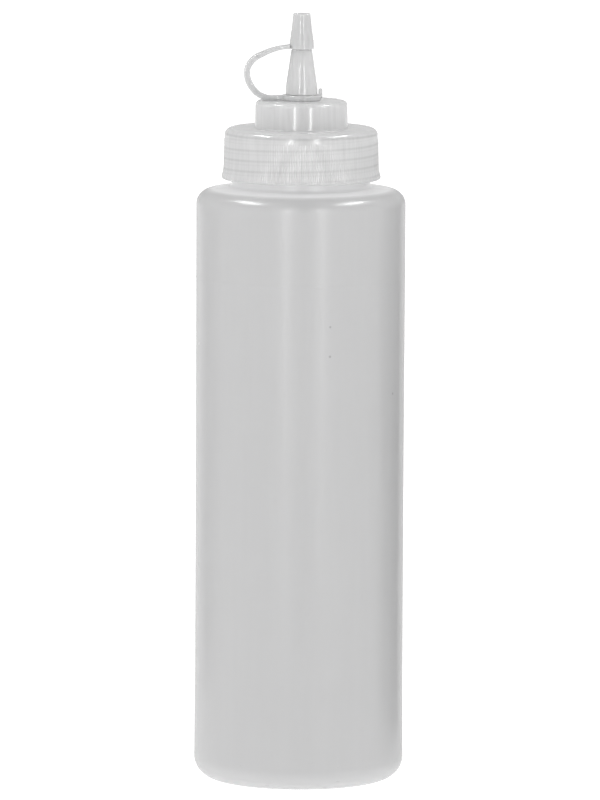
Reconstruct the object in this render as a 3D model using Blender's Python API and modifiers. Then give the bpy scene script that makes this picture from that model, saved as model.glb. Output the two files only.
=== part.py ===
"""Wide-mouth condiment squeeze bottle with a screw-on nozzle cap and a tethered tip cap.

The bottle is blow-moulded and open at its threaded neck. A loose washer seals it under the
screw cap, whose nozzle carries a snap-on ring. A strap joins that ring to the tip cap.
Heights and radii are in millimetres; +Z is up, the base stands on Z = 0 and the turning
axis is Z. The strap bulges towards -X. The strap is split into two links at its three
bends, so that it can raise the tip cap straight up the nozzle.
"""

import math

import bmesh
import bpy

MM = 0.001
CLEARANCE = 0.3

# Bottle
BODY_R = 35.0
BASE_R = 35.1
WAIST_R = 34.85
WAIST_Z = 70.0
BODY_WALL = 1.2
BASE_FILLET = 7.2
STANDING_RING_R = 23.5
PUSH_UP = 3.0
BASE_WALL = 2.0
SHOULDER_Z = 199.2
SHOULDER_FILLET = 5.0
SHOULDER_SLOPE = 7.0
NECK_R = 23.3
NECK_ROOT_FILLET = 1.2
NECK_WALL = 1.4
LIP_Z = 216.4

# Thread shared by the neck and the cap: right-handed, a half-round ridge on each
PITCH = 3.5
RIDGE_R = 0.85
NECK_THREAD_R = 23.45
NECK_THREAD_Z = 204.9
NECK_THREAD_TURNS = 2.5
CAP_THREAD_R = 24.55
CAP_THREAD_LEAD = 0.25
CAP_THREAD_TURNS = 3.0
THREAD_STEPS = 24

# Screw cap
RIM_Z = 202.7
RIM_R = 26.55
FLARE_TOP_Z = 207.5
SKIRT_R = 25.9
SKIRT_TOP_R = 25.7
SKIRT_TOP_Z = 219.8
SKIRT_FILLET = 2.4
SKIRT_BORE_R = 24.6
ROOF = 1.6
TIER_R = 15.6
TIER_TOP_R = 15.45
TIER_TOP_Z = 229.0
TIER_FILLET = 1.6
TIER_WALL = 1.4

# Nozzle, part of the screw cap
GROOVE_R = 4.6
GROOVE_TOP_Z = 231.0
NOZZLE_R = 5.35
NOZZLE_STRAIGHT_Z = 233.1
SEAT_Z = 246.0
SEAT_R = 3.52
SEAT_STEP = 0.25
NOZZLE_TIP_Z = 255.6
NOZZLE_TIP_R = 2.0
BORE_R = 3.4
BORE_STRAIGHT_Z = 236.0
ORIFICE_R = 1.1

# Washer between the lip and the cap's roof
SEAL_R = 24.2
SEAL_BORE_R = 20.5
SEAL_Z = LIP_Z + CLEARANCE
SEAL_THICK = 1.2

# Tether ring in the groove, with its finger tab opposite the strap
RING_BORE_R = GROOVE_R + CLEARANCE
RING_R = 6.6
RING_Z = TIER_TOP_Z + CLEARANCE
RING_THICK = 1.3
TAB_R = 7.05
TAB_WIDTH = 3.0
TAB_TOP_Z = 233.0

# Strap: bends at A beside the ring, at M on the bulge and at B beside the tip cap
STRAP_WIDTH = 4.4
BEND_A = (-7.2, 229.9)
BEND_M = (-18.25, 238.25)
BEND_B = (-7.2, 246.6)
ROOT_THICK = 1.2
BULGE_THICK = 2.1
TIP_THICK = 1.3
LOWER_ROUTE = (BEND_A, (-12.2, 230.0), (-16.1, 232.6), BEND_M)
LOWER_THICK = (ROOT_THICK, 1.35, 1.9, BULGE_THICK)
UPPER_ROUTE = (BEND_M, (-16.9, 241.9), (-12.4, 244.8), BEND_B)
UPPER_THICK = (BULGE_THICK, 1.75, 1.45, TIP_THICK)

# Tip cap
TIP_RIM_Z = 246.3
TIP_RIM_R = 4.25
TIP_TOP_Z = 258.2
TIP_TOP_R = 2.92
TIP_FILLET = 0.4
TIP_ROOF = 1.6

ROUND_STEPS = 48
SMALL_STEPS = 36

PLASTIC = {
    "bottle_ldpe": ((0.78, 0.79, 0.80), 0.38),
    "cap_ldpe": ((0.82, 0.83, 0.83), 0.30),
    "strap_ldpe": ((0.84, 0.85, 0.85), 0.34),
    "tip_ldpe": ((0.80, 0.81, 0.81), 0.32),
    "seal_foam": ((0.88, 0.88, 0.86), 0.70),
}


def clear_scene():
    for obj in list(bpy.data.objects):
        bpy.data.objects.remove(obj, do_unlink=True)


def new_collection(name):
    collection = bpy.data.collections.new(name)
    bpy.context.scene.collection.children.link(collection)
    return collection


def plastic(name):
    """A Principled material of the named plastic, made the first time it is asked for."""
    material = bpy.data.materials.get(name)
    if material is None:
        color, roughness = PLASTIC[name]
        material = bpy.data.materials.new(name)
        material.use_nodes = True
        shader = material.node_tree.nodes["Principled BSDF"]
        shader.inputs["Base Color"].default_value = (*color, 1.0)
        shader.inputs["Roughness"].default_value = roughness
        shader.inputs["Metallic"].default_value = 0.0
    return material


def add_object(name, data, collection, at=(0.0, 0.0, 0.0), material=None):
    obj = bpy.data.objects.new(name, data)
    obj.location = [MM * v for v in at]
    collection.objects.link(obj)
    if material:
        data.materials.append(plastic(material))
    if collection is cutters:
        obj.hide_render = True
        obj.display_type = "WIRE"
    return obj


def attach(child, parent):
    """Parents a piece that already stands in the world frame; no piece is turned."""
    child.location = child.location - world_place(parent)
    child.parent = parent


def world_place(obj):
    place = obj.location.copy()
    while obj.parent:
        obj = obj.parent
        place += obj.location
    return place


def arc(center, radius, start, end, count=6):
    """Points of an arc from the angle start to the angle end, in degrees."""
    angles = [math.radians(start + (end - start) * i / count) for i in range(count + 1)]
    return [(center[0] + radius * math.cos(a), center[1] + radius * math.sin(a)) for a in angles]


def turned(name, profile, collection, steps, closed, base_z=0.0, material=None):
    """A profile of (radius, height) points turned about Z. Its outer side runs downwards."""
    mesh = bpy.data.meshes.new(name)
    points = [(MM * r, 0.0, MM * (z - base_z)) for r, z in profile]
    count = len(points)
    edges = [(i, i + 1) for i in range(count - 1)] + ([(count - 1, 0)] if closed else [])
    mesh.from_pydata(points, edges, [])
    obj = add_object(name, mesh, collection, at=(0.0, 0.0, base_z), material=material)
    screw = obj.modifiers.new("turn", "SCREW")
    screw.steps = screw.render_steps = steps
    screw.use_merge_vertices = True
    screw.merge_threshold = 1e-6
    return obj


def boolean(obj, helper, operation):
    modifier = obj.modifiers.new(f"{operation.lower()}_{helper.name}", "BOOLEAN")
    modifier.operation = operation
    modifier.object = helper


def curve_to_mesh(curve_obj):
    """Replaces a curve object by an unturned mesh object with its caps welded on."""
    bpy.context.view_layer.update()
    graph = bpy.context.evaluated_depsgraph_get()
    mesh = bpy.data.meshes.new_from_object(curve_obj.evaluated_get(graph))
    mesh.transform(curve_obj.rotation_euler.to_matrix().to_4x4())
    solid = bmesh.new()
    solid.from_mesh(mesh)
    bmesh.ops.remove_doubles(solid, verts=solid.verts, dist=1e-6)
    bmesh.ops.recalc_face_normals(solid, faces=solid.faces)
    solid.to_mesh(mesh)
    solid.free()
    name, collection = curve_obj.name, curve_obj.users_collection[0]
    place = curve_obj.location / MM
    bpy.data.objects.remove(curve_obj, do_unlink=True)
    return add_object(name, mesh, collection, at=place)


def thread_ridge(name, radius, start_z, lead, turns):
    """A half-round ridge: a helical rod whose inner half lies in the wall that carries it."""
    curve = bpy.data.curves.new(name, "CURVE")
    curve.dimensions = "3D"
    curve.bevel_depth = MM * RIDGE_R
    curve.bevel_resolution = 2
    curve.use_fill_caps = True
    count = round(THREAD_STEPS * turns)
    spline = curve.splines.new("POLY")
    spline.points.add(count)
    for i, point in enumerate(spline.points):
        turn = lead + i / THREAD_STEPS
        angle = 2 * math.pi * turn
        z = start_z + PITCH * turn
        point.co = (MM * radius * math.cos(angle), MM * radius * math.sin(angle), MM * z, 1.0)
    return curve_to_mesh(add_object(name, curve, cutters))


def smooth_route(points, per_span=8):
    """Catmull-Rom values through the given tuples, ends included."""
    padded = [points[0], *points, points[-1]]
    route = []
    for before, start, end, after in zip(padded, padded[1:], padded[2:], padded[3:]):
        for i in range(per_span):
            t = i / per_span
            route.append(
                tuple(
                    0.5 * (2 * b + (c - a) * t + (2 * a - 5 * b + 4 * c - d) * t**2
                           + (3 * b - a - 3 * c + d) * t**3)
                    for a, b, c, d in zip(before, start, end, after)
                )
            )
    return route + [points[-1]]


def strap_edges(route, thick):
    """The two edges of a strap whose middle follows route, seen from the side."""
    values = smooth_route([(*point, t) for point, t in zip(route, thick)])
    left, right = [], []
    for i, (x, z, t) in enumerate(values):
        ahead, behind = values[min(i + 1, len(values) - 1)], values[max(i - 1, 0)]
        dx, dz = ahead[0] - behind[0], ahead[1] - behind[1]
        length = math.hypot(dx, dz)
        nx, nz = -dz / length * t / 2, dx / length * t / 2
        left.append((x + nx, z + nz))
        right.append((x - nx, z - nz))
    return left, right


def on_circle(point, center, radius):
    scale = radius / math.dist(point, center)
    return (center[0] + (point[0] - center[0]) * scale, center[1] + (point[1] - center[1]) * scale)


def heading(start, end):
    return math.degrees(math.atan2(end[1] - start[1], end[0] - start[0]))


def link_outline(route, thick):
    """A link's side outline: a hollow end round its first bend, a round end on its last."""
    first, last = route[0], route[-1]
    socket = thick[0] / 2 + CLEARANCE
    edges = []
    for edge in strap_edges(route, thick):
        kept = [p for p in edge if math.dist(p, first) > socket + CLEARANCE]
        edges.append([on_circle(edge[0] if len(kept) == len(edge) else kept[0], first, socket), *kept])
    left, right = edges
    ahead = heading(last, left[-1]) - 90
    knuckle = arc(last, thick[-1] / 2, ahead + 90, ahead - 90, 8)[1:-1]
    low, high = heading(first, right[0]), heading(first, left[0])
    sweep = (high - low + 180) % 360 - 180
    hollow = arc(first, socket, low, low + sweep)[1:-1]
    return left + knuckle + right[::-1] + hollow


def side_plate(name, outline, width, origin, collection, material=None):
    """An outline in the XZ plane given a width along Y, centred on Y = 0, as a mesh."""
    curve = bpy.data.curves.new(name, "CURVE")
    curve.dimensions = "2D"
    curve.fill_mode = "BOTH"
    curve.extrude = MM * width / 2
    spline = curve.splines.new("POLY")
    spline.points.add(len(outline) - 1)
    for point, (x, z) in zip(spline.points, outline):
        point.co = (MM * (x - origin[0]), MM * (z - origin[1]), 0.0, 1.0)
    spline.use_cyclic_u = True
    flat = add_object(name, curve, collection, at=(origin[0], 0.0, origin[1]))
    flat.rotation_euler = (math.pi / 2, 0.0, 0.0)
    plate = curve_to_mesh(flat)
    if material:
        plate.data.materials.append(plastic(material))
    return plate


def build_bottle():
    fillet_top = (BODY_R - SHOULDER_FILLET, SHOULDER_Z - SHOULDER_FILLET)
    slope = math.tan(math.radians(SHOULDER_SLOPE))
    root_r = NECK_R + NECK_ROOT_FILLET
    root_z = SHOULDER_Z + (fillet_top[0] - root_r) * slope
    inner_r = NECK_R - NECK_WALL
    inner_top = (fillet_top[0] - BODY_WALL, fillet_top[1] - BODY_WALL)
    inner_shoulder_z = root_z - 0.6 * BODY_WALL
    profile = [(0.0, PUSH_UP + BASE_WALL), (STANDING_RING_R - 6, PUSH_UP + BASE_WALL - 0.6)]
    profile += arc((BASE_R - BASE_FILLET, BASE_FILLET), BASE_FILLET - BODY_WALL, -90, 0)
    profile += [(WAIST_R - BODY_WALL, WAIST_Z)]
    profile += arc((inner_top[0], inner_top[1]), SHOULDER_FILLET, 0, 90 - SHOULDER_SLOPE)
    profile += [(inner_r + 1.0, inner_shoulder_z), (inner_r, inner_shoulder_z + 1.6)]
    profile += [(inner_r, LIP_Z - 0.4), (inner_r + 0.4, LIP_Z), (NECK_R - 0.4, LIP_Z), (NECK_R, LIP_Z - 0.4)]
    profile += arc((root_r, root_z + NECK_ROOT_FILLET), NECK_ROOT_FILLET, 180, 270, 4)
    profile += arc(fillet_top, SHOULDER_FILLET, 90 - SHOULDER_SLOPE, 0)
    profile += [(WAIST_R, WAIST_Z)]
    profile += arc((BASE_R - BASE_FILLET, BASE_FILLET), BASE_FILLET, 0, -90, 8)
    profile += [(STANDING_RING_R, 0.0), (STANDING_RING_R - 3, 1.2), (STANDING_RING_R - 9, PUSH_UP - 0.6)]
    profile += [(0.0, PUSH_UP)]
    bottle = turned("bottle", profile, parts, ROUND_STEPS, closed=False, material="bottle_ldpe")
    ridge = thread_ridge("neck_thread", NECK_THREAD_R, NECK_THREAD_Z, 0.0, NECK_THREAD_TURNS)
    boolean(bottle, ridge, "UNION")
    return bottle


def build_cap_seal(bottle):
    top_z = SEAL_Z + SEAL_THICK
    profile = [(SEAL_BORE_R, SEAL_Z), (SEAL_BORE_R, top_z), (SEAL_R, top_z), (SEAL_R, SEAL_Z)]
    seal = turned("cap_seal", profile, parts, ROUND_STEPS, closed=True, base_z=SEAL_Z, material="seal_foam")
    attach(seal, bottle)
    return seal


def nozzle_outside():
    """The nozzle's outer side from its tip down to the groove, as (radius, height) points."""
    seat_top_r = SEAT_R - SEAT_STEP
    return [
        (NOZZLE_TIP_R - 0.3, NOZZLE_TIP_Z),
        (NOZZLE_TIP_R, NOZZLE_TIP_Z - 0.3),
        (seat_top_r, SEAT_Z),
        (SEAT_R, SEAT_Z - SEAT_STEP),
        (NOZZLE_R, NOZZLE_STRAIGHT_Z),
        (NOZZLE_R, GROOVE_TOP_Z),
        (GROOVE_R, GROOVE_TOP_Z),
    ]


def build_screw_cap(seal):
    roof_z = SKIRT_TOP_Z - ROOF
    tier_roof_z = TIER_TOP_Z - TIER_WALL
    tier_bore_r = TIER_TOP_R - TIER_WALL
    profile = nozzle_outside() + [(GROOVE_R, TIER_TOP_Z)]
    profile += arc((TIER_TOP_R - TIER_FILLET, TIER_TOP_Z - TIER_FILLET), TIER_FILLET, 90, 0, 5)
    profile += [(TIER_R, SKIRT_TOP_Z)]
    profile += arc((SKIRT_TOP_R - SKIRT_FILLET, SKIRT_TOP_Z - SKIRT_FILLET), SKIRT_FILLET, 90, 0)
    profile += [(SKIRT_R, FLARE_TOP_Z), (RIM_R, RIM_Z + 0.8), (RIM_R - 0.4, RIM_Z)]
    profile += [(SKIRT_BORE_R + 0.6, RIM_Z), (SKIRT_BORE_R, RIM_Z + 1.0), (SKIRT_BORE_R, roof_z)]
    profile += [(tier_bore_r, roof_z), (tier_bore_r, tier_roof_z), (BORE_R, tier_roof_z)]
    profile += [(BORE_R, BORE_STRAIGHT_Z), (ORIFICE_R, NOZZLE_TIP_Z - 1.0), (ORIFICE_R, NOZZLE_TIP_Z)]
    cap = turned("screw_cap", profile, parts, ROUND_STEPS, closed=True, base_z=RIM_Z, material="cap_ldpe")
    start_z = NECK_THREAD_Z - PITCH / 2
    ridge = thread_ridge("cap_thread", CAP_THREAD_R, start_z, CAP_THREAD_LEAD, CAP_THREAD_TURNS)
    boolean(cap, ridge, "UNION")
    attach(cap, seal)
    return cap


def build_tether_ring(cap):
    """The ring snaps into the nozzle's groove; its strap root ends in a round end at bend A."""
    top_z = RING_Z + RING_THICK
    profile = [(0.0, top_z), (RING_R - 0.3, top_z), (RING_R, top_z - 0.3), (RING_R, RING_Z), (0.0, RING_Z)]
    ring = turned("tether_ring", profile, parts, SMALL_STEPS, closed=False, base_z=RING_Z, material="strap_ldpe")
    half = ROOT_THICK / 2
    root = [(-RING_BORE_R, BEND_A[1] + half), *arc(BEND_A, half, 90, 270, 8), (-RING_BORE_R, BEND_A[1] - half)]
    tab = [(GROOVE_R, RING_Z + 0.5), (RING_R, RING_Z + 0.5), (TAB_R, RING_Z + 1.2)]
    tab += [(TAB_R, TAB_TOP_Z - 0.5), (TAB_R - 0.5, TAB_TOP_Z), (GROOVE_R, TAB_TOP_Z)]
    boolean(ring, side_plate("ring_strap_root", root, STRAP_WIDTH, BEND_A, cutters), "UNION")
    boolean(ring, side_plate("ring_tab", tab, TAB_WIDTH, BEND_A, cutters), "UNION")
    step_z = top_z + 0.1
    bore = [(0.0, TAB_TOP_Z + 1), (NOZZLE_R + CLEARANCE, TAB_TOP_Z + 1), (NOZZLE_R + CLEARANCE, step_z)]
    bore += [(RING_BORE_R, step_z), (RING_BORE_R, RING_Z - 1), (0.0, RING_Z - 1)]
    boolean(ring, turned("ring_bore", bore, cutters, SMALL_STEPS, closed=False), "DIFFERENCE")
    attach(ring, cap)
    return ring


def build_strap_link(name, route, thick, parent):
    outline = link_outline(route, thick)
    link = side_plate(name, outline, STRAP_WIDTH, route[0], parts, material="strap_ldpe")
    bevel = link.modifiers.new("soft_edges", "BEVEL")
    bevel.width = MM * 0.15
    bevel.segments = 1
    bevel.limit_method = "ANGLE"
    attach(link, parent)
    return link


def build_tip_cap(parent):
    """The tip cap stands on the nozzle's axis, and hangs from an empty at bend B."""
    hinge = bpy.data.objects.new("tip_cap_bend", None)
    hinge.location = (MM * BEND_B[0], 0.0, MM * BEND_B[1])
    parts.objects.link(hinge)
    profile = [(0.0, TIP_TOP_Z), (TIP_TOP_R - TIP_FILLET, TIP_TOP_Z)]
    profile += arc((TIP_TOP_R - TIP_FILLET, TIP_TOP_Z - TIP_FILLET), TIP_FILLET, 90, 0, 3)[1:]
    profile += [(TIP_RIM_R, TIP_RIM_Z + 0.2), (TIP_RIM_R - 0.2, TIP_RIM_Z), (0.0, TIP_RIM_Z)]
    cap = turned("tip_cap", profile, parts, SMALL_STEPS, closed=False, base_z=TIP_RIM_Z, material="tip_ldpe")
    half = TIP_THICK / 2
    socket = half + CLEARANCE
    reach = math.sqrt(socket**2 - half**2)
    stub = [(BEND_B[0] + reach, BEND_B[1] + half), (0.0, BEND_B[1] + half), (0.0, BEND_B[1] - half)]
    stub += [(BEND_B[0] + reach, BEND_B[1] - half)]
    edge = math.degrees(math.acos(reach / socket))
    stub += arc(BEND_B, socket, -edge, edge)[1:-1]
    boolean(cap, side_plate("tip_strap_root", stub, STRAP_WIDTH, BEND_B, cutters), "UNION")
    gap = CLEARANCE + 0.02
    hollow = [(0.0, TIP_TOP_Z - TIP_ROOF), (NOZZLE_TIP_R + gap, TIP_TOP_Z - TIP_ROOF)]
    hollow += [(SEAT_R - SEAT_STEP + gap, TIP_RIM_Z), (SEAT_R - SEAT_STEP + gap, TIP_RIM_Z - 1)]
    hollow += [(0.0, TIP_RIM_Z - 1)]
    boolean(cap, turned("tip_hollow", hollow, cutters, SMALL_STEPS, closed=False), "DIFFERENCE")
    attach(cap, hinge)
    attach(hinge, parent)
    return cap


clear_scene()
parts = new_collection("squeeze_bottle")
cutters = new_collection("cutters")

bottle = build_bottle()
seal = build_cap_seal(bottle)
screw_cap = build_screw_cap(seal)
tether_ring = build_tether_ring(screw_cap)
strap_lower = build_strap_link("tether_strap_lower", LOWER_ROUTE, LOWER_THICK, tether_ring)
strap_upper = build_strap_link("tether_strap_upper", UPPER_ROUTE, UPPER_THICK, strap_lower)
tip_cap = build_tip_cap(strap_upper)

for piece in parts.objects:
    if piece.type == "MESH":
        piece.data.shade_smooth()
        piece.data.set_sharp_from_angle(angle=math.radians(35))
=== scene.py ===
"""Squeeze bottle for sauces, with a screw cap, a nozzle and a tethered tip cap: the finished
pieces, their materials and a plain studio, built round the bottle's frame. Outlines are in
millimetres from the middle of the base, and the strap lies towards -X."""

import math

import bmesh
import bpy
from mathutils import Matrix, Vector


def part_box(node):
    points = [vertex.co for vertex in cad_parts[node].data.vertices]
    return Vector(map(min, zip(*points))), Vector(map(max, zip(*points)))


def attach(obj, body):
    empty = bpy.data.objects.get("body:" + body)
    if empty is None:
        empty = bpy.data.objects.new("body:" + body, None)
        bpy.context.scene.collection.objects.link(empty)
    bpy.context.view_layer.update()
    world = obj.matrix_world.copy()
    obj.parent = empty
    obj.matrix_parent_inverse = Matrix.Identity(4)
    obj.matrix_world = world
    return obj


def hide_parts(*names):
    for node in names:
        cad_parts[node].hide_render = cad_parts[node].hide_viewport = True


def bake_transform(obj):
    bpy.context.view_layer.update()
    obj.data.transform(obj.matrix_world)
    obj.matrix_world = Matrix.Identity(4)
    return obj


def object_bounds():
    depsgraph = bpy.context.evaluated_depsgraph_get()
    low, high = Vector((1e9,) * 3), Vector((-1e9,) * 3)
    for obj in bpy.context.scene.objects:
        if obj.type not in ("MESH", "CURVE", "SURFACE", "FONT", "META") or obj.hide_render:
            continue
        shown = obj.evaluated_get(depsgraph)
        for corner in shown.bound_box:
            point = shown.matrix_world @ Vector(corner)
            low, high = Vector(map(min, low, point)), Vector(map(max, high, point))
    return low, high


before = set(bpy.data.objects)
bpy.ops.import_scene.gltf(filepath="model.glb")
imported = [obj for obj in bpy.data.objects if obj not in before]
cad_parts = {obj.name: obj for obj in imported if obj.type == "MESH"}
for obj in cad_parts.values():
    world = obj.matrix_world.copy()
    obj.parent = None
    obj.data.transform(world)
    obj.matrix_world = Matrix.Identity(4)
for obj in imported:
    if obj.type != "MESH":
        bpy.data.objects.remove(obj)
cad_low, cad_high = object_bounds()

# ---------------------------------------------------------------------------------------
# Bottle. Blow-moulded in one piece from milky low-density polyethylene, thin enough to
# squeeze. The two mould halves leave a parting line down each side and a pinched weld under
# the pushed-up base, and the neck carries a right-handed thread of two and a half turns.
MM = 0.001
WELD = 1e-6
bottle_box = [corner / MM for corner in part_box("bottle")]
body_r = bottle_box[1].x - 0.1
base_r = bottle_box[1].x
lip_z = bottle_box[1].z
waist_r, waist_z = body_r - 0.15, 70.0
base_fillet, standing_r, push_up = 7.2, 23.5, 3.0
shoulder_z, shoulder_fillet, shoulder_slope = 199.2, 5.0, 7.0
witness_z, witness_height = 169.6, 0.05
neck_r, neck_fillet = 23.3, 1.2
wall = 1.2
pitch, ridge_r = 3.5, 0.85
neck_thread_r, neck_thread_z, neck_thread_turns, thread_sink = 23.45, 204.9, 2.5, 0.62
body_columns = 192
flank_r = body_r - 0.04
pinch_size = (34.0, 0.9, 1.0)
pinch_drop, pinch_curve, pinch_end_rise = 2.9, 2.6, 0.25
crease = math.radians(40)


def arc(centre_r, centre_z, radius, start, end, count=8):
    """Points of an arc between two angles in degrees, seen in the half section."""
    angles = [math.radians(start + (end - start) * i / count) for i in range(count + 1)]
    return [(centre_r + radius * math.cos(a), centre_z + radius * math.sin(a)) for a in angles]


def open_in_edit_mode(piece):
    """Opens a piece in edit mode with no other piece selected."""
    if bpy.context.mode == "EDIT_MESH":
        bpy.ops.object.mode_set(mode="OBJECT")
    bpy.ops.object.select_all(action="DESELECT")
    piece.select_set(True)
    bpy.context.view_layer.objects.active = piece
    bpy.ops.object.mode_set(mode="EDIT")


def pick(piece, kind, wanted):
    """Opens a piece in edit mode with only those parts picked whose corners all pass a test in mm."""
    open_in_edit_mode(piece)
    bpy.ops.mesh.select_mode(type=kind)
    bpy.ops.mesh.select_all(action="DESELECT")
    mesh = bmesh.from_edit_mesh(piece.data)
    for part in {"VERT": mesh.verts, "EDGE": mesh.edges, "FACE": mesh.faces}[kind]:
        corners = [part] if kind == "VERT" else part.verts
        part.select = all(wanted(*(corner.co / MM)) for corner in corners)
    mesh.select_flush_mode()
    bmesh.update_edit_mesh(piece.data)


def weld(piece):
    """Merges what lies in one place and turns the faces outwards, back in object mode."""
    bpy.ops.mesh.select_mode(type="VERT")
    bpy.ops.mesh.select_all(action="SELECT")
    bpy.ops.mesh.remove_doubles(threshold=WELD)
    bpy.ops.mesh.normals_make_consistent(inside=False)
    bpy.ops.object.mode_set(mode="OBJECT")
    return piece


def draw(name, outline):
    """Extrudes one point along an outline of (x, z) in mm, and stays in edit mode."""
    bpy.ops.object.select_all(action="DESELECT")
    bpy.ops.mesh.primitive_plane_add(size=MM)
    piece = bpy.context.object
    piece.name = piece.data.name = name
    bpy.ops.object.mode_set(mode="EDIT")
    bpy.ops.mesh.merge(type="CENTER")
    x, z = outline[0]
    bpy.ops.transform.translate(value=(x * MM, 0.0, z * MM))
    for next_x, next_z in outline[1:]:
        step = ((next_x - x) * MM, 0.0, (next_z - z) * MM)
        bpy.ops.mesh.extrude_region_move(TRANSFORM_OT_translate={"value": step})
        x, z = next_x, next_z
    return piece


def lathe(name, outline, columns):
    """Spins a half section of (radius, height) round the bottle's axis."""
    piece = draw(name, outline)
    bpy.ops.mesh.select_all(action="SELECT")
    bpy.ops.mesh.spin(steps=columns, angle=2 * math.pi, center=(0, 0, 0), axis=(0, 0, 1))
    return weld(piece)


def finish_with(piece, kind, **settings):
    """Adds a modifier and applies it."""
    bpy.ops.object.select_all(action="DESELECT")
    piece.select_set(True)
    bpy.context.view_layer.objects.active = piece
    modifier = piece.modifiers.new(kind.lower(), kind)
    for setting, value in settings.items():
        setattr(modifier, setting, value)
    bpy.ops.object.modifier_apply(modifier=modifier.name)


def fuse(piece, other, operation="UNION"):
    """Joins another piece to this one as one skin, or cuts it away, and removes it."""
    finish_with(piece, "BOOLEAN", operation=operation, object=other, solver="MANIFOLD")
    bpy.data.objects.remove(other)


def thread(name, radius, start_z, lead, turns, sink):
    """A round ridge wound up the axis, half of it in its wall, that sinks away at both ends."""
    steps, corners, run_out, end_size = 96, 12, 1 / 10, 0.45
    piece = weld(draw(name, arc(radius, start_z + pitch * lead, ridge_r, 0, 360, corners)))
    piece.rotation_euler.z = 2 * math.pi * lead
    bpy.ops.object.transform_apply(location=True, rotation=True, scale=True)
    count = round(steps * turns)
    finish_with(piece, "SCREW", angle=2 * math.pi * turns, screw_offset=pitch * turns * MM,
                steps=count, render_steps=count)
    for i, vertex in enumerate(piece.data.vertices):
        turn = (i // corners) / steps
        grown = min(1.0, min(turn, turns - turn) / run_out)
        size = end_size + (1.0 - end_size) * grown
        middle_z = start_z + pitch * (lead + turn)
        r, z = math.hypot(vertex.co.x, vertex.co.y) / MM, vertex.co.z / MM
        vertex.co.xy *= (radius + (r - radius) * size - sink * (1.0 - grown)) / r
        vertex.co.z = (middle_z + (z - middle_z) * size) * MM
    open_in_edit_mode(piece)
    bpy.ops.mesh.select_mode(type="EDGE")
    bpy.ops.mesh.select_all(action="DESELECT")
    bpy.ops.mesh.select_non_manifold(extend=False)
    bpy.ops.mesh.fill()
    return weld(piece)


outline = [(0.0, push_up), (7.0, push_up - 0.15), (14.5, push_up - 0.6), (20.5, 1.2), (22.6, 0.25)]
outline += [(standing_r, 0.0)]
outline += arc(base_r - base_fillet, base_fillet, base_fillet, -90, 0, 12)
outline += [(base_r - 0.03, base_fillet + 1.5), (waist_r + 0.06, 35.0), (waist_r, waist_z)]
outline += [(waist_r + 0.04, 120.0), (flank_r, witness_z - 1.0), (flank_r, witness_z - 0.4)]
outline += [(flank_r + witness_height, witness_z), (flank_r, witness_z + 0.4), (flank_r, witness_z + 1.0)]
fillet_r, fillet_z = body_r - shoulder_fillet, shoulder_z - shoulder_fillet
outline += [(body_r - 0.01, fillet_z - 1.5)]
outline += arc(fillet_r, fillet_z, shoulder_fillet, 0, 90 - shoulder_slope, 12)
root_r = neck_r + neck_fillet
root_z = shoulder_z + (fillet_r - root_r) * math.tan(math.radians(shoulder_slope))
outline += arc(root_r, root_z + neck_fillet, neck_fillet, 270, 180, 6)
outline += [(neck_r, lip_z - 0.4), (neck_r - 0.12, lip_z - 0.12), (neck_r - 0.4, lip_z)]
bottle = lathe("bottle_blown", outline, body_columns)


def on_parting_line(x, y, z):
    """Tests for the two lines where the mould halves met, from the base to the neck."""
    return abs(y) < 0.01 and z > 1.0 and z < root_z


pick(bottle, "EDGE", on_parting_line)
bpy.ops.mesh.bevel(offset=0.28 * MM, segments=2, affect="EDGES")
pick(bottle, "VERT", on_parting_line)
bpy.ops.transform.shrink_fatten(value=0.1 * MM)
bpy.ops.object.mode_set(mode="OBJECT")
finish_with(bottle, "SOLIDIFY", thickness=wall * MM, offset=-1.0, use_even_offset=True)
ridge = thread("neck_thread", neck_thread_r, neck_thread_z, 0.0, neck_thread_turns, thread_sink)
fuse(bottle, ridge)

bpy.ops.object.select_all(action="DESELECT")
bpy.ops.mesh.primitive_cube_add(size=MM)
pinch_weld = bpy.context.object
pinch_weld.dimensions = [v * MM for v in pinch_size]
bpy.ops.object.transform_apply(location=True, rotation=True, scale=True)
bpy.ops.object.mode_set(mode="EDIT")
bpy.ops.mesh.subdivide(number_cuts=15)
bpy.ops.object.mode_set(mode="OBJECT")
for vertex in pinch_weld.data.vertices:
    reach = abs(vertex.co.x) / (standing_r * MM)
    vertex.co.z += (push_up - pinch_drop * reach ** pinch_curve) * MM + pinch_end_rise * MM * reach
fuse(bottle, pinch_weld)
bottle.data.shade_smooth()
bottle.data.set_sharp_from_angle(angle=crease)
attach(bottle, "bottle")
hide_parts("bottle")


def node(tree, kind, sockets=None, **settings):
    """Adds a node. Each of its sockets is given a value or the output that feeds it."""
    made = tree.nodes.new(kind)
    for setting, value in settings.items():
        setattr(made, setting, value)
    for key, value in (sockets or {}).items():
        if isinstance(value, bpy.types.NodeSocket):
            tree.links.new(value, made.inputs[key])
        else:
            made.inputs[key].default_value = value
    return made


def new_group(name, inputs, outputs):
    """A shader node group with its named sockets, its input node and its output node."""
    group = bpy.data.node_groups.new(name, "ShaderNodeTree")
    for socket, kind, value in inputs:
        made = group.interface.new_socket(socket, in_out="INPUT", socket_type=f"NodeSocket{kind}")
        made.default_value = value
    for socket, kind in outputs:
        group.interface.new_socket(socket, in_out="OUTPUT", socket_type=f"NodeSocket{kind}")
    return group, node(group, "NodeGroupInput"), node(group, "NodeGroupOutput")


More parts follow.
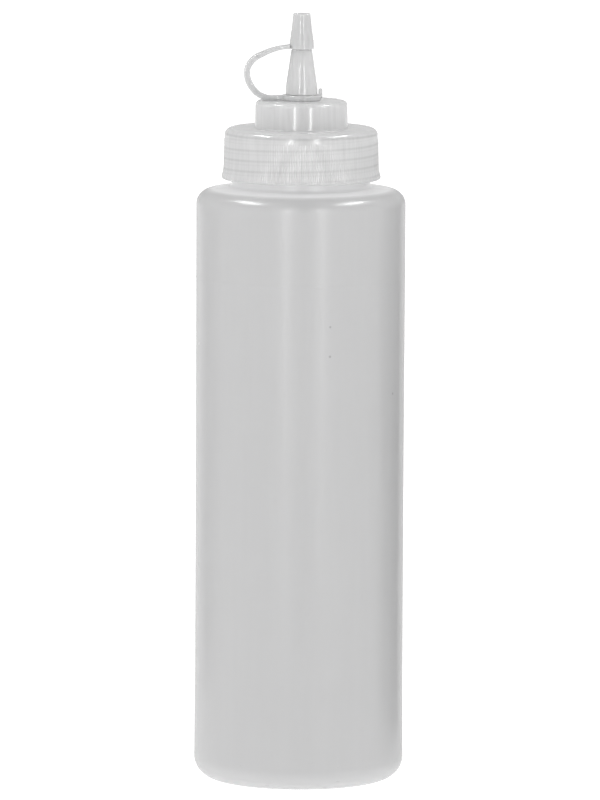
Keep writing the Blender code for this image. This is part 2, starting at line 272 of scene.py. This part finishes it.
def milky_plastic_group():
    """Natural polyethylene: cloudy thickness, faint drawn streaks, pinhead specks, soft haze."""
    group, given, result = new_group(
        "milky_plastic",
        [("Tint", "Color", (0.6, 0.6, 0.6, 1.0)), ("Cloud", "Float", 0.05), ("Streak", "Float", 0.04),
         ("Streak Width", "Float", 1.0), ("Roughness", "Float", 0.35)],
        [("Color", "Color"), ("Roughness", "Float"), ("Height", "Float")],
    )
    place = node(group, "ShaderNodeTexCoord").outputs["Object"]
    cloud = node(group, "ShaderNodeTexNoise",
                 {"Vector": place, "Scale": 42.0, "Detail": 4.0, "Roughness": 0.6})
    stretched = node(group, "ShaderNodeMapping", {"Vector": place, "Scale": (1.0, 1.0, 0.06)})
    tight = node(group, "ShaderNodeMath", {0: 900.0, 1: given.outputs["Streak Width"]}, operation="DIVIDE")
    streak = node(group, "ShaderNodeTexNoise",
                  {"Vector": stretched.outputs[0], "Scale": tight.outputs[0], "Detail": 3.0})
    grain = node(group, "ShaderNodeTexNoise", {"Vector": place, "Scale": 2600.0, "Detail": 2.0})
    cell = node(group, "ShaderNodeTexVoronoi", {"Vector": place, "Scale": 95.0, "Randomness": 1.0})
    speck = node(group, "ShaderNodeMapRange",
                 {"Value": cell.outputs["Distance"], "From Min": 0.028, "From Max": 0.05})
    chosen = node(group, "ShaderNodeSeparateColor", {0: cell.outputs["Color"]})
    rare = node(group, "ShaderNodeMath", {0: chosen.outputs[0], 1: 0.86}, operation="LESS_THAN")
    clean = node(group, "ShaderNodeMath", {0: speck.outputs[0], 1: rare.outputs[0]}, operation="MAXIMUM")

    def swing(source, amount):
        """One plus the source's swing about its middle, times an amount."""
        centred = node(group, "ShaderNodeMath", {0: source, 1: 0.5}, operation="SUBTRACT")
        return node(group, "ShaderNodeMath", {0: centred.outputs[0], 1: amount, 2: 1.0},
                    operation="MULTIPLY_ADD").outputs[0]

    light = node(group, "ShaderNodeMath",
                 {0: swing(cloud.outputs[0], given.outputs["Cloud"]),
                  1: swing(streak.outputs[0], given.outputs["Streak"])}, operation="MULTIPLY")
    spotted = node(group, "ShaderNodeMapRange",
                   {"Value": clean.outputs[0], "To Min": 0.72, "To Max": 1.0})
    shade = node(group, "ShaderNodeMath", {0: light.outputs[0], 1: spotted.outputs[0]}, operation="MULTIPLY")
    color = node(group, "ShaderNodeVectorMath", {0: given.outputs["Tint"], "Scale": shade.outputs[0]},
                 operation="SCALE")
    rough = node(group, "ShaderNodeMath",
                 {0: given.outputs["Roughness"], 1: swing(cloud.outputs[0], 0.06)}, operation="MULTIPLY")
    relief = node(group, "ShaderNodeMath", {0: grain.outputs[0], 1: 0.25, 2: streak.outputs[0]},
                  operation="MULTIPLY_ADD")
    group.links.new(color.outputs[0], result.inputs["Color"])
    group.links.new(rough.outputs[0], result.inputs["Roughness"])
    group.links.new(relief.outputs[0], result.inputs["Height"])
    return group


milky_plastic = milky_plastic_group()


def new_material(name, piece):
    """A material with its tree and a Principled node, as the only one on a piece."""
    material = bpy.data.materials.new(name)
    material.use_nodes = True
    piece.data.materials.clear()
    piece.data.materials.append(material)
    return material.node_tree, material.node_tree.nodes["Principled BSDF"]


def bottle_plastic():
    """Milky all over, scuffed near the base, with a painted glow round the neck that lifts the shade under
    the cap.
    """
    tree, shader = new_material("bottle_polyethylene", bottle)
    plastic = node(tree, "ShaderNodeGroup", node_tree=milky_plastic)
    for socket, value in {"Tint": (0.57, 0.57, 0.573, 1.0), "Cloud": 0.012, "Streak": 0.03,
                          "Streak Width": 2.4, "Roughness": 0.27}.items():
        plastic.inputs[socket].default_value = value
    place = node(tree, "ShaderNodeTexCoord").outputs["Object"]
    height = node(tree, "ShaderNodeSeparateXYZ", {0: place}).outputs["Z"]
    near_base = node(tree, "ShaderNodeMapRange", {"Value": height, "From Min": 0.001, "From Max": 0.014,
                                                  "To Min": 1.0, "To Max": 0.0})
    rubbed = node(tree, "ShaderNodeMapping", {"Vector": place, "Scale": (1.0, 1.0, 5.0)})
    mark = node(tree, "ShaderNodeTexNoise", {"Vector": rubbed.outputs[0], "Scale": 210.0, "Detail": 6.0,
                                             "Roughness": 0.65})
    scuff = node(tree, "ShaderNodeMapRange", {"Value": mark.outputs[0], "From Min": 0.66, "From Max": 0.72})
    scuffed = node(tree, "ShaderNodeMath", {0: scuff.outputs[0], 1: near_base.outputs[0]},
                   operation="MULTIPLY")
    worn = node(tree, "ShaderNodeMix", {0: scuffed.outputs[0], 6: plastic.outputs["Color"],
                                        7: (0.26, 0.26, 0.27, 1.0)}, data_type="RGBA")
    relief = node(tree, "ShaderNodeBump", {"Height": plastic.outputs["Height"], "Strength": 0.1,
                                           "Distance": 0.00006})
    across = node(tree, "ShaderNodeVectorMath", {0: place, 1: (1.0, 1.0, 0.0)}, operation="MULTIPLY")
    radius = node(tree, "ShaderNodeVectorMath", {0: across.outputs[0]}, operation="LENGTH")
    # Painted glow: the neck and the top of the shoulder, where the cap casts shade, give off light in the
    # plastic's own colour.
    inward = node(tree, "ShaderNodeMapRange", {"Value": radius.outputs["Value"], "From Min": 0.033,
                                               "From Max": 0.029}, interpolation_type="SMOOTHSTEP")
    upward = node(tree, "ShaderNodeMapRange", {"Value": height, "From Min": 0.19, "From Max": 0.197})
    glow = node(tree, "ShaderNodeMath", {0: inward.outputs[0], 1: upward.outputs[0]},
                operation="MULTIPLY")
    painted_neck_glow = node(tree, "ShaderNodeVectorMath", {0: worn.outputs[2], "Scale": glow.outputs[0]},
                      operation="SCALE")
    tree.links.new(worn.outputs[2], shader.inputs["Base Color"])
    tree.links.new(painted_neck_glow.outputs[0], shader.inputs["Emission Color"])
    tree.links.new(plastic.outputs["Roughness"], shader.inputs["Roughness"])
    tree.links.new(relief.outputs[0], shader.inputs["Normal"])
    # Strength of the painted glow round the neck.
    shader.inputs["Emission Strength"].default_value = 0.4
    shader.inputs["IOR"].default_value = 1.5
    shader.inputs["Subsurface Weight"].default_value = 0.6
    shader.inputs["Subsurface Radius"].default_value = (1.0, 1.0, 1.0)
    shader.inputs["Subsurface Scale"].default_value = 0.004


bottle_plastic()

# ---------------------------------------------------------------------------------------
# Cap seal. A loose washer stamped from white foamed polyethylene sheet. It sits under the
# cap's roof, and the bottle's lip has pressed a shallow ring into its lower face.
seal_low, seal_high = [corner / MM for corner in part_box("cap_seal")]
seal_r, seal_bore_r, seal_edge = seal_high.x, 20.5, 0.2
lip_in, lip_out, lip_mark = neck_r - wall, neck_r, 0.15
outline = [(seal_bore_r, seal_high.z - seal_edge), (seal_bore_r, seal_low.z + seal_edge)]
outline += [(seal_bore_r + seal_edge, seal_low.z), (lip_in - 0.3, seal_low.z)]
outline += [(lip_in, seal_low.z + lip_mark), (lip_out, seal_low.z + lip_mark)]
outline += [(lip_out + 0.2, seal_low.z), (seal_r - seal_edge, seal_low.z)]
outline += [(seal_r, seal_low.z + seal_edge), (seal_r, seal_high.z - seal_edge)]
outline += [(seal_r - seal_edge, seal_high.z), (seal_bore_r + seal_edge, seal_high.z)]
outline += [(seal_bore_r, seal_high.z - seal_edge)]
seal = lathe("seal_washer", outline, 128)
seal.data.shade_smooth()
seal.data.set_sharp_from_angle(angle=math.radians(50))
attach(seal, "washer")
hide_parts("cap_seal")

tree, shader = new_material("seal_foam", seal)
place = node(tree, "ShaderNodeTexCoord").outputs["Object"]
cells = node(tree, "ShaderNodeTexVoronoi", {"Vector": place, "Scale": 2600.0})
cell_shade = node(tree, "ShaderNodeValToRGB", {0: cells.outputs["Distance"]})
cell_shade.color_ramp.elements[0].color = (0.66, 0.66, 0.65, 1.0)
cell_shade.color_ramp.elements[1].color = (0.8, 0.8, 0.79, 1.0)
pores = node(tree, "ShaderNodeBump", {"Height": cells.outputs["Distance"], "Strength": 0.5,
                                      "Distance": 0.00008})
tree.links.new(cell_shade.outputs[0], shader.inputs["Base Color"])
tree.links.new(pores.outputs[0], shader.inputs["Normal"])
shader.inputs["Roughness"].default_value = 0.75

# ---------------------------------------------------------------------------------------
# Screw cap. Injection-moulded in clearer polyethylene: a skirt with two hundred fine grip
# ribs and a flared rim, a flat roof, a raised round tier and the nozzle, all one piece.
# Its own thread runs up the bore. The light and shade of both threads behind the skirt are
# painted into its colour as sloping bands, and the washer's edge as a painted shade line.
cap_low, cap_high = [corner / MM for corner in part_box("screw_cap")]
rim_z, rim_r, tip_z = cap_low.z, cap_high.x, cap_high.z
flare_z, skirt_r, skirt_bore_r = 207.5, 25.9, 24.6
skirt_top_r, skirt_top_z, skirt_fillet, roof = 25.7, 219.8, 2.4, 1.6
rib_count, rib_columns, rib_height, rib_top_z = 200, 4, 0.13, 216.1
skirt_joint_r, crown_joint_r = 21.0, 20.0
skirt = [(skirt_joint_r, skirt_top_z)]
skirt += arc(skirt_top_r - skirt_fillet, skirt_top_z - skirt_fillet, skirt_fillet, 90, 0, 10)
skirt += [(skirt_top_r + 0.02, rib_top_z + 0.25), (skirt_top_r + 0.02, rib_top_z - 0.25)]
skirt += [(skirt_r - 0.02, flare_z), (skirt_r + 0.08, flare_z - 1.3), (skirt_r + 0.3, flare_z - 2.7)]
skirt += [(rim_r - 0.02, rim_z + 0.9), (rim_r, rim_z + 0.55), (rim_r - 0.15, rim_z + 0.15)]
skirt += [(rim_r - 0.45, rim_z), (skirt_bore_r + 0.6, rim_z), (skirt_bore_r, rim_z + 1.0)]
skirt += [(skirt_bore_r, skirt_top_z - roof), (skirt_joint_r, skirt_top_z - roof)]
cap = lathe("cap_moulded", skirt, rib_count * rib_columns)


def on_rib(level):
    """Tests for the rows of a rib: its crest is level 2 and its flanks are levels 1 and 3."""
    def test(x, y, z):
        column = round(math.atan2(y, x) / (2 * math.pi) * rib_count * rib_columns) % rib_columns
        outside = math.hypot(x, y) > skirt_top_r - 0.05
        return outside and column in level and rim_z + 0.5 < z < rib_top_z
    return test


for level, height in (((1, 3), 0.7 * rib_height), ((2,), rib_height)):
    pick(cap, "VERT", on_rib(level))
    bpy.ops.transform.shrink_fatten(value=height * MM)
    bpy.ops.object.mode_set(mode="OBJECT")

tier_r, tier_top_r, tier_top_z, tier_fillet, tier_wall = 15.6, 15.45, 229.0, 1.6, 1.4
groove_r, groove_top_z, nozzle_r, nozzle_straight_z = 4.6, 231.0, 5.35, 233.1
seat_z, seat_r, seat_step, nozzle_tip_r = 246.0, 3.52, 0.25, 2.0
bore_r, bore_straight_z, orifice_r = 3.4, 236.0, 1.1
tier_root = 0.5
crown = [(crown_joint_r, skirt_top_z)]
crown += arc(tier_r + tier_root, skirt_top_z + tier_root, tier_root, 270, 180, 4)
crown += arc(tier_top_r - tier_fillet, tier_top_z - tier_fillet, tier_fillet, 0, 90, 8)
crown += [(groove_r + 0.2, tier_top_z), (groove_r, tier_top_z + 0.2), (groove_r, groove_top_z - 0.1)]
crown += [(nozzle_r - 0.15, groove_top_z), (nozzle_r, groove_top_z + 0.15), (nozzle_r, nozzle_straight_z)]
crown += [(seat_r, seat_z - seat_step), (seat_r - seat_step, seat_z)]
crown += arc(nozzle_tip_r - 0.3, tip_z - 0.3, 0.3, 0, 90, 4)
crown += [(orifice_r + 0.15, tip_z), (orifice_r, tip_z - 0.15), (orifice_r, tip_z - 1.0)]
crown += [(bore_r, bore_straight_z), (bore_r, tier_top_z - tier_wall + 0.6)]
crown += [(bore_r + 0.6, tier_top_z - tier_wall), (tier_top_r - tier_wall - 0.8, tier_top_z - tier_wall)]
crown += [(tier_top_r - tier_wall, tier_top_z - tier_wall - 0.8), (tier_r - tier_wall, skirt_top_z - roof)]
crown += [(crown_joint_r, skirt_top_z - roof)]
crown_piece = lathe("crown", crown, rib_count)
crown_piece.select_set(True)
cap.select_set(True)
bpy.context.view_layer.objects.active = cap
bpy.ops.object.join()

for level_z in (skirt_top_z, skirt_top_z - roof):
    pick(cap, "EDGE", lambda x, y, z: crown_joint_r - 0.1 < math.hypot(x, y) < skirt_joint_r + 0.1
         and abs(z - level_z) < 0.01)
    bpy.ops.mesh.bridge_edge_loops()
    bpy.ops.object.mode_set(mode="OBJECT")
open_in_edit_mode(cap)
weld(cap)
cap_thread_r, cap_thread_lead, cap_thread_turns = 24.55, 0.25, 3.0
ridge = thread("cap_thread", cap_thread_r, neck_thread_z - pitch / 2, cap_thread_lead,
               cap_thread_turns, -thread_sink)
fuse(cap, ridge)
cap.data.shade_smooth()
cap.data.set_sharp_from_angle(angle=crease)
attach(cap, "cap")
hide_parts("screw_cap")


def clear_plastic(name, piece, tint, roughness, streak_width, see_through):
    """The clearer grade of the same plastic, for what is injection-moulded, with a faint painted glow all
    over.
    """
    tree, shader = new_material(name, piece)
    plastic = node(tree, "ShaderNodeGroup", node_tree=milky_plastic)
    for socket, value in {"Tint": tint, "Cloud": 0.03, "Streak": 0.22, "Streak Width": streak_width,
                          "Roughness": roughness}.items():
        plastic.inputs[socket].default_value = value
    relief = node(tree, "ShaderNodeBump", {"Height": plastic.outputs["Height"], "Strength": 0.15,
                                           "Distance": 0.00005})
    tree.links.new(plastic.outputs["Color"], shader.inputs["Base Color"])
    # The plastic's own colour is also given off as a faint painted glow that lifts its shade everywhere.
    tree.links.new(plastic.outputs["Color"], shader.inputs["Emission Color"])
    tree.links.new(plastic.outputs["Roughness"], shader.inputs["Roughness"])
    tree.links.new(relief.outputs[0], shader.inputs["Normal"])
    shader.inputs["Emission Strength"].default_value = 0.08
    shader.inputs["IOR"].default_value = 1.5
    shader.inputs["Transmission Weight"].default_value = see_through
    shader.inputs["Subsurface Weight"].default_value = 0.5
    shader.inputs["Subsurface Radius"].default_value = (1.0, 1.0, 1.0)
    shader.inputs["Subsurface Scale"].default_value = 0.003
    return tree, shader, plastic


# Painted light and shade of the two threads seen through the skirt: a shade for each place within one pitch.
painted_thread_shading = [(0.0, 0.92), (0.22, 1.06), (0.36, 0.8), (0.52, 0.94), (0.76, 1.26), (0.9, 1.04), (1.0, 0.92)]
low_fade_z, top_fade_z, washer_z = (0.2030, 0.2045), (0.2174, 0.2166), 0.218


def cap_plastic():
    """The clear grade, with the threads behind the skirt painted in as bands of light and shade, and a
    painted shade line along the washer.
    """
    tint = (0.735, 0.735, 0.737, 1.0)
    tree, shader, plastic = clear_plastic("cap_polyethylene", cap, tint, 0.15, 1.0, 0.3)
    place = node(tree, "ShaderNodeTexCoord").outputs["Object"]
    along = node(tree, "ShaderNodeSeparateXYZ", {0: place})
    angle = node(tree, "ShaderNodeMath", {0: along.outputs["Y"], 1: along.outputs["X"]}, operation="ARCTAN2")
    start = (neck_thread_z - pitch / 2) / pitch
    climb = node(tree, "ShaderNodeMath", {0: along.outputs["Z"], 1: 1.0 / (pitch * MM), 2: -start},
                 operation="MULTIPLY_ADD")
    phase = node(tree, "ShaderNodeMath", {0: angle.outputs[0], 1: -0.5 / math.pi, 2: climb.outputs[0]},
                 operation="MULTIPLY_ADD")
    within = node(tree, "ShaderNodeMath", {0: phase.outputs[0]}, operation="FRACT")
    thread_shading_ramp = node(tree, "ShaderNodeValToRGB", {0: within.outputs[0]})
    thread_shading_ramp.color_ramp.interpolation = "B_SPLINE"
    for place_in_pitch, _ in painted_thread_shading[1:-1]:
        thread_shading_ramp.color_ramp.elements.new(place_in_pitch)
    for element, (place_in_pitch, shade) in zip(thread_shading_ramp.color_ramp.elements, painted_thread_shading):
        element.position = place_in_pitch
        element.color = (shade, shade, shade, 1.0)
    low_end = node(tree, "ShaderNodeMapRange", {"Value": along.outputs["Z"], "From Min": low_fade_z[0],
                                                "From Max": low_fade_z[1]})
    top_end = node(tree, "ShaderNodeMapRange", {"Value": along.outputs["Z"], "From Min": top_fade_z[0],
                                                "From Max": top_fade_z[1]})
    threaded = node(tree, "ShaderNodeMath", {0: low_end.outputs[0], 1: top_end.outputs[0]},
                    operation="MULTIPLY")
    # Painted shade: a dark line round the skirt at the washer's edge, where shade falls between roof and
    # washer.
    from_washer = node(tree, "ShaderNodeMath", {0: along.outputs["Z"], 1: washer_z}, operation="SUBTRACT")
    washer_gap = node(tree, "ShaderNodeMath", {0: from_washer.outputs[0]}, operation="ABSOLUTE")
    painted_washer_shade = node(tree, "ShaderNodeMapRange", {"Value": washer_gap.outputs[0], "From Min": 0.0001,
                                                    "From Max": 0.0006, "To Min": 0.84})
    thread_shaded = node(tree, "ShaderNodeMix", {0: threaded.outputs[0], 6: (1.0, 1.0, 1.0, 1.0),
                                          7: thread_shading_ramp.outputs[0]}, data_type="RGBA")
    painted_shading = node(tree, "ShaderNodeVectorMath", {0: thread_shaded.outputs[2], "Scale": painted_washer_shade.outputs[0]},
                 operation="SCALE")
    color = node(tree, "ShaderNodeVectorMath", {0: plastic.outputs["Color"], 1: painted_shading.outputs[0]},
                 operation="MULTIPLY")
    # The painted bands and shade line also go into the faint painted glow.
    tree.links.new(color.outputs[0], shader.inputs["Base Color"])
    tree.links.new(color.outputs[0], shader.inputs["Emission Color"])


cap_plastic()

# ---------------------------------------------------------------------------------------
# Tether ring. The ring, the strap and the tip cap come out of one mould as one soft piece.
# The ring snaps into the groove under the nozzle and has a small tab to prise it by. The
# strap flexes at both ends and in its bow, so it is divided where it stays straight.
ring_low, ring_high = [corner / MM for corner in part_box("tether_ring")]
ring_bore_r, ring_r, ring_edge = groove_r + 0.3, 6.6, 0.35
ring_z, ring_top_z = ring_low.z - 0.2, ring_low.z + 1.55
tab_r, tab_top_z, tab_width = ring_high.x, ring_high.z, 3.0
section = [(ring_bore_r, ring_top_z - 0.2), (ring_bore_r, ring_z + 0.2), (ring_bore_r + 0.2, ring_z)]
section += arc(ring_r - ring_edge, ring_z + ring_edge, ring_edge, -90, 0, 5)
section += arc(ring_r - ring_edge, ring_top_z - ring_edge, ring_edge, 0, 90, 5)
section += [(ring_bore_r + 0.2, ring_top_z), (ring_bore_r, ring_top_z - 0.2)]
ring = lathe("tether_ring_moulded", section, 96)

bpy.ops.object.select_all(action="DESELECT")
tab_root_r, tab_root_z = nozzle_r + 0.3, ring_z + 0.5
tab_middle = ((tab_root_r + tab_r) / 2, 0.0, (tab_root_z + tab_top_z) / 2)
bpy.ops.mesh.primitive_cube_add(size=MM, location=[v * MM for v in tab_middle])
tab = bpy.context.object
tab.dimensions = [v * MM for v in (tab_r - tab_root_r, tab_width, tab_top_z - tab_root_z)]
bpy.ops.object.transform_apply(location=True, rotation=True, scale=True)
finish_with(tab, "BEVEL", width=0.64 * MM, segments=6)
fuse(ring, tab)

strap_width, strap_flare, flare_length = 4.4, 1.1, 3.2
route = [(-5.3, 229.95), (-7.2, 229.9), (-12.2, 230.0), (-16.1, 232.6), (-18.25, 238.25)]
route += [(-16.9, 241.9), (-12.4, 244.8), (-7.2, 246.55), (-3.95, 247.0)]
root_thick, bow_thick, tip_thick = 1.5, 2.1, 1.3
strap_edge = 0.42


def bent_strap():
    """A straight strap with round edges, flared at its ends, bent along the route."""
    guide = bpy.data.curves.new("strap_route", "CURVE")
    spline = guide.splines.new("BEZIER")
    spline.bezier_points.add(len(route) - 1)
    for point, (x, z) in zip(spline.bezier_points, route):
        point.co = (x * MM, z * MM, 0.0)
        point.handle_left_type = point.handle_right_type = "AUTO"
    guide_piece = bpy.data.objects.new("strap_route", guide)
    bpy.context.scene.collection.objects.link(guide_piece)
    bpy.context.view_layer.update()
    length, steps = spline.calc_length() / MM, 72
    half_w, half_t = strap_width / 2 - strap_edge, bow_thick / 2 - strap_edge
    corners = []
    for x, z, start in ((half_w, -half_t, -90), (half_w, half_t, 0), (-half_w, half_t, 90),
                        (-half_w, -half_t, 180)):
        corners += arc(x, z, strap_edge, start, start + 90, 4)
    strap = weld(draw("tether_strap_bow", [*corners, corners[0]]))
    open_in_edit_mode(strap)
    bpy.ops.mesh.select_all(action="SELECT")
    bpy.ops.mesh.edge_face_add()
    step = (0.0, length / steps * MM, 0.0)
    for _ in range(steps):
        bpy.ops.mesh.extrude_region_move(TRANSFORM_OT_translate={"value": step})
    weld(strap)
    for vertex in strap.data.vertices:
        along = vertex.co.y / MM
        share = along / length
        end_thick = root_thick if share < 0.5 else tip_thick
        thick = end_thick + (bow_thick - end_thick) * math.sin(math.pi * share) ** 2
        to_end = min(along, length - along)
        flare = strap_flare * 2 * max(0.0, 1.0 - to_end / flare_length) ** 2
        vertex.co.z *= thick / bow_thick
        vertex.co.x *= 1.0 + flare / strap_width
    finish_with(strap, "CURVE", object=guide_piece, deform_axis="POS_Y")
    bpy.data.objects.remove(guide_piece)
    strap.rotation_euler.x = math.pi / 2
    bpy.ops.object.transform_apply(location=True, rotation=True, scale=True)
    return strap


def copy_of(piece, name):
    """A copy of a piece with a mesh of its own."""
    bpy.ops.object.select_all(action="DESELECT")
    piece.select_set(True)
    bpy.context.view_layer.objects.active = piece
    bpy.ops.object.duplicate()
    copy = bpy.context.object
    copy.name = copy.data.name = name
    return copy


def cut_off(piece, place, direction):
    """Cuts away what lies past a plane and closes the end."""
    open_in_edit_mode(piece)
    bpy.ops.mesh.select_all(action="SELECT")
    bpy.ops.mesh.bisect(plane_co=[v * MM for v in place], plane_no=direction, use_fill=True,
                        clear_outer=True)
    weld(piece)


lower_cut, upper_cut = (-15.1, 0.0, 231.65), (-14.6, 0.0, 243.55)
lower_run, upper_run = (-0.74, 0.0, 0.67), (0.84, 0.0, 0.54)
bow = bent_strap()
root = copy_of(bow, "strap_root")
end = copy_of(bow, "strap_end")
cut_off(root, lower_cut, lower_run)
cut_off(end, upper_cut, [-v for v in upper_run])
cut_off(bow, lower_cut, [-v for v in lower_run])
cut_off(bow, upper_cut, upper_run)
fuse(ring, root)


for piece, body, next_body, start, finish, nodes in (
    (ring, "ring", "strap_lower", (-6.9, 0.0, 229.9), (-13.0, 0.0, 229.9), ("tether_ring",)),
    (bow, "strap_lower", "strap_upper", (-17.5, 0.0, 233.8), (-17.5, 0.0, 242.6),
     ("tether_strap_lower", "tether_strap_upper")),
):
    piece.data.shade_smooth()
    piece.data.set_sharp_from_angle(angle=crease)
    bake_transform(piece)
    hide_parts(*nodes)
clear_plastic("tether_polyethylene", ring, (0.57, 0.571, 0.573, 1.0), 0.1, 0.6, 0.0)
bow.data.materials.clear()
bow.data.materials.append(ring.data.materials[0])

# ---------------------------------------------------------------------------------------
# Tip cap. The far end of the same moulding: a hollow cone that pushes over the nozzle, with
# a slightly thicker collar round its mouth, where the strap joins it, and a dished top.
tip_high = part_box("tip_cap")[1] / MM
tip_rim_z, tip_top_z = 246.3, tip_high.z
tip_rim_r, tip_top_r, tip_roof, tip_edge = 4.25, 2.92, 1.6, 0.35
collar_z, collar_r, collar_step, tip_gap = 249.3, 3.9, 0.1, 0.32
outline = [(0.0, tip_top_z - 0.2), (1.5, tip_top_z - 0.2), (1.75, tip_top_z)]
outline += arc(tip_top_r - tip_edge, tip_top_z - tip_edge, tip_edge, 90, 0, 5)
outline += [(3.43, 253.0), (collar_r, collar_z + 0.1), (collar_r + collar_step, collar_z - 0.05)]
outline += [(tip_rim_r - 0.12, tip_rim_z + 1.0), (tip_rim_r, tip_rim_z + 0.25), (tip_rim_r - 0.15, tip_rim_z)]
outline += [(seat_r - seat_step + tip_gap + 0.1, tip_rim_z), (seat_r - seat_step + tip_gap, tip_rim_z + 0.15)]
outline += [(nozzle_tip_r + tip_gap, tip_top_z - tip_roof), (0.0, tip_top_z - tip_roof)]
tip_cap = lathe("tip_cap_moulded", outline, 96)
fuse(tip_cap, end)
tip_cap.data.shade_smooth()
tip_cap.data.set_sharp_from_angle(angle=crease)
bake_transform(tip_cap)
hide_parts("tip_cap")
tip_cap.data.materials.clear()
tip_cap.data.materials.append(ring.data.materials[0])

# ---------------------------------------------------------------------------------------
# Studio. A white floor that gives off its own light, under a white sky with a dark gap near
# the camera. Lamps in front and above add highlights, and a dark card stands on each side
# of the bottle. What the bottle mirrors of the floor, and of the sky behind it, is dimmer.
floor_level, floor_mirrored, sky_mirrored = 1.2, 0.8, 0.6
gap_bearing, gap_half, gap_end = math.radians(7.0), math.radians(8.0), math.radians(14.0)
bpy.ops.object.select_all(action="DESELECT")
bpy.ops.mesh.primitive_circle_add(vertices=96, radius=14.0, fill_type="NGON")
floor = bpy.context.object
floor.name = "floor"
tree, shader = new_material("white_sweep", floor)
shader.inputs["Base Color"].default_value = (0.06, 0.06, 0.06, 1.0)
shader.inputs["Roughness"].default_value = 0.9
shader.inputs["Emission Color"].default_value = (1.0, 1.0, 1.0, 1.0)
mirrored = node(tree, "ShaderNodeLightPath").outputs["Is Glossy Ray"]
glow = node(tree, "ShaderNodeMapRange", {"Value": mirrored, "To Min": floor_level,
                                          "To Max": floor_mirrored})
tree.links.new(glow.outputs[0], shader.inputs["Emission Strength"])

world = bpy.data.worlds.new("studio")
bpy.context.scene.world = world
world.use_nodes = True
tree = world.node_tree
sky = tree.nodes["Background"]
way = node(tree, "ShaderNodeSeparateXYZ", {0: node(tree, "ShaderNodeTexCoord").outputs["Generated"]})
ahead = node(tree, "ShaderNodeMath", {0: way.outputs["Y"], 1: -1.0}, operation="MULTIPLY")
bearing = node(tree, "ShaderNodeMath", {0: way.outputs["X"], 1: ahead.outputs[0]}, operation="ARCTAN2")
seen = node(tree, "ShaderNodeLightPath").outputs["Is Camera Ray"]
from_gap = node(tree, "ShaderNodeMath", {0: bearing.outputs[0], 1: gap_bearing}, operation="SUBTRACT")
from_gap = node(tree, "ShaderNodeMath", {0: from_gap.outputs[0]}, operation="ABSOLUTE")
sky_level = node(tree, "ShaderNodeMapRange", {"Value": from_gap.outputs[0], "From Min": gap_half,
                                              "From Max": gap_end})
level = node(tree, "ShaderNodeMath", {0: sky_level.outputs[0], 1: seen}, operation="MAXIMUM")
mirrored = node(tree, "ShaderNodeLightPath").outputs["Is Glossy Ray"]
behind = node(tree, "ShaderNodeMapRange", {"Value": way.outputs["Y"], "From Min": 0.2, "From Max": 0.7})
dimming = node(tree, "ShaderNodeMath", {0: mirrored, 1: behind.outputs[0]}, operation="MULTIPLY")
dimmed = node(tree, "ShaderNodeMapRange", {"Value": dimming.outputs[0], "To Min": 1.0,
                                           "To Max": sky_mirrored})
level = node(tree, "ShaderNodeMath", {0: level.outputs[0], 1: dimmed.outputs[0]}, operation="MULTIPLY")
tree.links.new(level.outputs[0], sky.inputs["Strength"])
sky.inputs["Color"].default_value = (1.0, 1.0, 1.0, 1.0)


def soft_light(name, bearing, rise, distance, width, height, power):
    """A lamp aimed at the bottle that only shows in its gloss. Bearing 0 is the camera's side, and
    bearings grow to the right."""
    light = bpy.data.lights.new(name, "AREA")
    light.shape, light.size, light.size_y, light.energy = "RECTANGLE", width, height, power
    lamp = bpy.data.objects.new(name, light)
    bpy.context.scene.collection.objects.link(lamp)
    turn, tilt = math.radians(bearing), math.radians(rise)
    lamp.location = (distance * math.cos(tilt) * math.sin(turn), -distance * math.cos(tilt) * math.cos(turn),
                     distance * math.sin(tilt) + middle_z)
    lamp.rotation_euler = (math.pi / 2 - tilt, 0.0, turn)
    lamp.visible_diffuse = False


def dark_card(name, bearing, distance, width, height, shade):
    """A card that stands on the floor facing the bottle, out of the camera's sight."""
    turn = math.radians(bearing)
    bpy.ops.object.select_all(action="DESELECT")
    bpy.ops.mesh.primitive_plane_add(size=1.0)
    card = bpy.context.object
    card.name = name
    card.dimensions = (width, height, 0.0)
    card.location = (distance * math.sin(turn), -distance * math.cos(turn), height / 2)
    card.rotation_euler = (math.pi / 2, 0.0, turn)
    card.visible_camera = False
    tree, shader = new_material(name, card)
    shader.inputs["Base Color"].default_value = (shade, shade, shade, 1.0)
    shader.inputs["Roughness"].default_value = 1.0


middle_z = (cad_low.z + cad_high.z) / 2
dark_card("card_right", 110.0, 0.12, 0.09, 0.21, 0.03)
dark_card("card_left", -114.0, 0.25, 0.14, 0.21, 0.3)
soft_light("strip_left", -16.0, 11.0, 1.6, 0.13, 1.4, 6.8)
soft_light("strip_right", 23.0, 11.0, 1.6, 0.13, 1.4, 6.8)
soft_light("top_left", -88.0, 55.0, 1.6, 0.8, 0.22, 13.0)
soft_light("top_right", 88.0, 55.0, 1.6, 0.8, 0.22, 13.0)

camera = bpy.data.objects.new("camera", bpy.data.cameras.new("camera"))
bpy.context.scene.collection.objects.link(camera)
bpy.context.scene.camera = camera
camera_rise, camera_distance, camera_roll = math.radians(7.0), 3.0, math.radians(0.28)
aim_z = 0.1279
camera.location = (0.0, -camera_distance * math.cos(camera_rise),
                   aim_z + camera_distance * math.sin(camera_rise))
camera.rotation_mode = "ZYX"
camera.rotation_euler = (math.pi / 2 - camera_rise, 0.0, camera_roll)
camera.data.lens = 401.7
camera.data.clip_end = 60.0
bpy.context.scene.view_settings.view_transform = "Standard"
